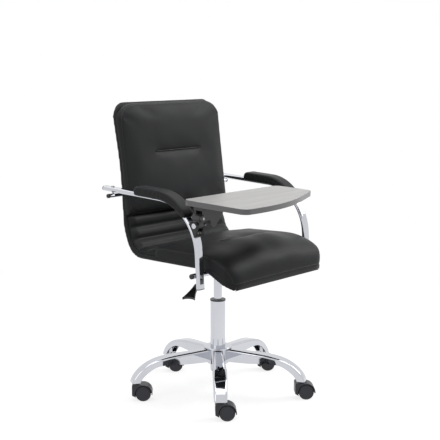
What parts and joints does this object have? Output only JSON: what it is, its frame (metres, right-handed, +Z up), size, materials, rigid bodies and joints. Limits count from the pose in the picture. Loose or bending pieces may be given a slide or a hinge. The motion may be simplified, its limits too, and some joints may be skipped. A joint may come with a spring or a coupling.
{
  "type": "swivel chair with writing tablet",
  "caption": "Swivel office chair with padded seat and back, chromed arms, gas lift on a castered star base, and a writing tablet folding over from the right arm.",
  "frame": {"origin": "on the floor, under the axis of the gas lift", "axes": "the chair faces -Y, the sitter's right hand is towards -X, +Z is up"},
  "size_m": [0.6336, 0.6796, 0.9692],
  "materials": {
    "chrome_plate": "polished chrome plating",
    "bright_steel": "zinc-plated or bright steel",
    "black_paint": "black powder coat",
    "black_plastic": "moulded, satin",
    "caster_plastic": "moulded nylon, fine texture",
    "wheel_plastic": "moulded nylon",
    "grey_plastic": "moulded, satin",
    "black_leatherette": "fine grained leatherette",
    "pad_leatherette": "fine grained leatherette over foam",
    "grey_laminate": "wood-look laminate on chipboard",
    "grey_edging": "edge banding"
  },
  "bodies": {
    "base": {"base_hub": "chrome_plate", "base_arm_1": "chrome_plate", "base_arm_2": "chrome_plate", "base_arm_3": "chrome_plate", "base_arm_4": "chrome_plate", "base_arm_5": "chrome_plate", "column_tube": "chrome_plate", "guide_bush": "black_plastic", "thrust_bearing": "bright_steel"},
    "caster_1": {"caster_1_hood": "caster_plastic", "caster_1_pins": "bright_steel"},
    "wheel_1_left": {"caster_1_wheel_left": "wheel_plastic"},
    "wheel_1_right": {"caster_1_wheel_right": "wheel_plastic"},
    "caster_2": {"caster_2_hood": "caster_plastic", "caster_2_pins": "bright_steel"},
    "wheel_2_left": {"caster_2_wheel_left": "wheel_plastic"},
    "wheel_2_right": {"caster_2_wheel_right": "wheel_plastic"},
    "caster_3": {"caster_3_hood": "caster_plastic", "caster_3_pins": "bright_steel"},
    "wheel_3_left": {"caster_3_wheel_left": "wheel_plastic"},
    "wheel_3_right": {"caster_3_wheel_right": "wheel_plastic"},
    "caster_4": {"caster_4_hood": "caster_plastic", "caster_4_pins": "bright_steel"},
    "wheel_4_left": {"caster_4_wheel_left": "wheel_plastic"},
    "wheel_4_right": {"caster_4_wheel_right": "wheel_plastic"},
    "caster_5": {"caster_5_hood": "caster_plastic", "caster_5_pins": "bright_steel"},
    "wheel_5_left": {"caster_5_wheel_left": "wheel_plastic"},
    "wheel_5_right": {"caster_5_wheel_right": "wheel_plastic"},
    "gas_rod": {"piston_rod": "bright_steel", "rod_clip": "bright_steel"},
    "seat": {"lift_cylinder": "chrome_plate", "mechanism_plate": "black_paint", "mechanism_bolts": "bright_steel", "outer_shell": "black_leatherette", "back_cushion": "black_leatherette", "lumbar_pad": "black_leatherette", "seat_cushion": "black_leatherette", "arm_tube_right": "chrome_plate", "arm_tube_left": "chrome_plate", "arm_pad_right": "pad_leatherette", "arm_pad_left": "pad_leatherette", "tube_caps": "black_plastic", "rear_bar": "chrome_plate", "lower_bar": "chrome_plate", "bar_plugs": "black_plastic", "bar_screws": "bright_steel", "clamp_block": "black_paint", "clamp_screws": "bright_steel", "tilt_bolt": "chrome_plate"},
    "lever": {"lever_rod": "black_paint", "lever_paddle": "black_plastic"},
    "valve": {"valve_pin": "bright_steel"},
    "tablet_knuckle": {"knuckle": "grey_plastic", "fold_pin": "bright_steel"},
    "tablet": {"fold_arm": "grey_plastic", "tablet_bracket": "grey_plastic", "tablet_board": "grey_laminate", "edge_band": "grey_edging", "tablet_screws": "bright_steel"}
  },
  "joints": [
    {"name": "caster_1_swivel", "type": "hinge", "parent": "base", "child": "caster_1", "pos_m": [-0.20508, -0.19211, 0.06], "axis": [0, 0, 1], "continuous": true},
    {"name": "wheel_1_left_roll", "type": "hinge", "parent": "caster_1", "child": "wheel_1_left", "pos_m": [-0.19127, -0.20658, 0.025], "axis": [0.7236, 0.6903, 0], "continuous": true},
    {"name": "wheel_1_right_roll", "type": "hinge", "parent": "caster_1", "child": "wheel_1_right", "pos_m": [-0.19127, -0.20658, 0.025], "axis": [0.7236, 0.6903, 0], "continuous": true},
    {"name": "caster_2_swivel", "type": "hinge", "parent": "base", "child": "caster_2", "pos_m": [0.11933, -0.2544, 0.06], "axis": [0, 0, 1], "continuous": true},
    {"name": "wheel_2_left_roll", "type": "hinge", "parent": "caster_2", "child": "wheel_2_left", "pos_m": [0.13314, -0.26887, 0.025], "axis": [0.7236, 0.6903, 0], "continuous": true},
    {"name": "wheel_2_right_roll", "type": "hinge", "parent": "caster_2", "child": "wheel_2_right", "pos_m": [0.13314, -0.26887, 0.025], "axis": [0.7236, 0.6903, 0], "continuous": true},
    {"name": "caster_3_swivel", "type": "hinge", "parent": "base", "child": "caster_3", "pos_m": [0.27883, 0.03488, 0.06], "axis": [0, 0, 1], "continuous": true},
    {"name": "wheel_3_left_roll", "type": "hinge", "parent": "caster_3", "child": "wheel_3_left", "pos_m": [0.29263, 0.02041, 0.025], "axis": [0.7236, 0.6903, 0], "continuous": true},
    {"name": "wheel_3_right_roll", "type": "hinge", "parent": "caster_3", "child": "wheel_3_right", "pos_m": [0.29263, 0.02041, 0.025], "axis": [0.7236, 0.6903, 0], "continuous": true},
    {"name": "caster_4_swivel", "type": "hinge", "parent": "base", "child": "caster_4", "pos_m": [0.05299, 0.27596, 0.06], "axis": [0, 0, 1], "continuous": true},
    {"name": "wheel_4_left_roll", "type": "hinge", "parent": "caster_4", "child": "wheel_4_left", "pos_m": [0.0668, 0.26149, 0.025], "axis": [0.7236, 0.6903, 0], "continuous": true},
    {"name": "wheel_4_right_roll", "type": "hinge", "parent": "caster_4", "child": "wheel_4_right", "pos_m": [0.0668, 0.26149, 0.025], "axis": [0.7236, 0.6903, 0], "continuous": true},
    {"name": "caster_5_swivel", "type": "hinge", "parent": "base", "child": "caster_5", "pos_m": [-0.24608, 0.13567, 0.06], "axis": [0, 0, 1], "continuous": true},
    {"name": "wheel_5_left_roll", "type": "hinge", "parent": "caster_5", "child": "wheel_5_left", "pos_m": [-0.23227, 0.1212, 0.025], "axis": [0.7236, 0.6903, 0], "continuous": true},
    {"name": "wheel_5_right_roll", "type": "hinge", "parent": "caster_5", "child": "wheel_5_right", "pos_m": [-0.23227, 0.1212, 0.025], "axis": [0.7236, 0.6903, 0], "continuous": true},
    {"name": "seat_swivel", "type": "hinge", "parent": "base", "child": "gas_rod", "pos_m": [0, 0, 0.082], "axis": [0, 0, 1], "continuous": true},
    {"name": "seat_height", "type": "slide", "parent": "gas_rod", "child": "seat", "axis": [0, 0, 1], "range_m": [-0.1, 0.015]},
    {"name": "lever_lift", "type": "hinge", "parent": "seat", "child": "lever", "pos_m": [-0.045, -0.01727, 0.4548], "axis": [-0.3584, 0.9336, 0], "range_deg": [0, 4], "stiffness_Nm_per_rad": 4, "springref_deg": -2.86},
    {"name": "valve_press", "type": "slide", "parent": "seat", "child": "valve", "axis": [0, 0, 1], "range_m": [-0.0034, 0]},
    {"name": "tablet_tilt", "type": "hinge", "parent": "seat", "child": "tablet_knuckle", "pos_m": [-0.267, -0.16, 0.615], "axis": [1, 0, 0], "range_deg": [-4, 15]},
    {"name": "tablet_fold", "type": "hinge", "parent": "tablet_knuckle", "child": "tablet", "pos_m": [-0.267, -0.16066, 0.63699], "axis": [0, -0.9995, -0.03], "range_deg": [0, 95]}
  ],
  "couplings": [
    {"joint": "valve_press", "follows": "lever_lift", "m_per_rad": -0.0482}
  ]
}
